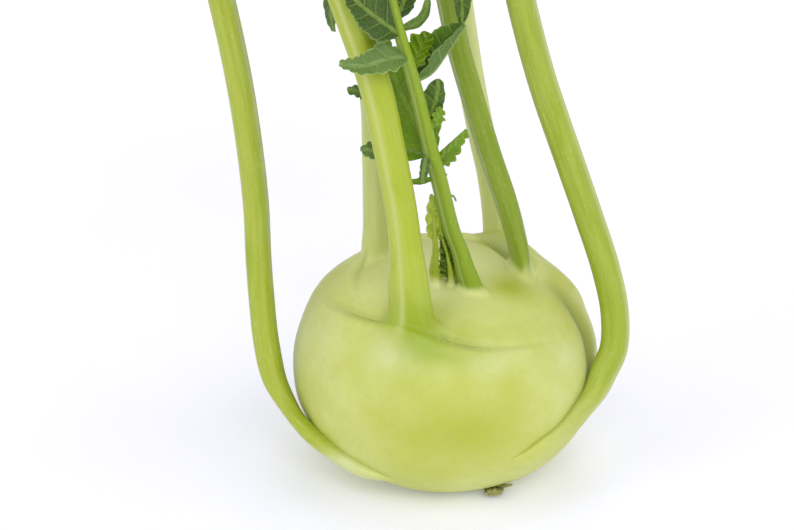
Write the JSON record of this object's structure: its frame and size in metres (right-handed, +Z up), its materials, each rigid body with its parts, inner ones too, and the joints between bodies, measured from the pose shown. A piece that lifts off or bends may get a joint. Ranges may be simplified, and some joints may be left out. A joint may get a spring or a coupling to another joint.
{
  "type": "kohlrabi",
  "caption": "Pale green kohlrabi as picked: a squashed round bulb on a small flat spot, long leaf stalks that wrap up from below or rise from its shoulder, and broad wavy leaves.",
  "frame": {"origin": "middle of the small flat spot under the bulb, on the surface it stands on", "axes": "+Z up, +X to the right and +Y to the back as one looks at the plant with its crown leaning forward"},
  "size_m": [0.2441, 0.2257, 0.2513],
  "materials": {
    "bulb_skin": "satin pale yellow-green skin with a thin whitish bloom and soft mottling",
    "stalk_skin": "satin green skin with fine lengthwise streaks and a paler channel",
    "young_stalk_skin": "satin fresh green skin, bluish bloom in the channel",
    "leaf_blade": "waxy blue-green leaf, blistered between pale veins",
    "bud_leaf": "crinkled yellow-green folded leaf",
    "dry_stub": "dry olive-beige torn end"
  },
  "bodies": {
    "root": {"bulb": "bulb_skin", "front_stalk": "stalk_skin", "front_blade": "leaf_blade", "left_stalk": "stalk_skin", "left_blade": "leaf_blade", "right_stalk": "stalk_skin", "right_blade": "leaf_blade", "back_right_stalk": "stalk_skin", "back_right_blade": "leaf_blade", "back_stalk": "stalk_skin", "back_blade": "leaf_blade", "back_left_stalk": "stalk_skin", "back_left_blade": "leaf_blade", "young_stalk": "young_stalk_skin", "young_blade": "leaf_blade", "young_lobe_1": "leaf_blade", "young_lobe_2": "leaf_blade", "young_lobe_3": "leaf_blade", "young_lobe_4": "leaf_blade", "young_lobe_5": "leaf_blade", "young_lobe_6": "leaf_blade", "young_lobe_7": "leaf_blade", "young_lobe_8": "leaf_blade", "young_lobe_9": "leaf_blade", "young_lobe_10": "leaf_blade", "young_lobe_11": "leaf_blade", "young_lobe_12": "leaf_blade", "young_lobe_13": "leaf_blade", "young_lobe_14": "leaf_blade", "bud_leaf_1": "bud_leaf", "bud_leaf_2": "bud_leaf", "bud_leaf_3": "bud_leaf", "base_stub": "dry_stub"}
  },
  "joints": []
}
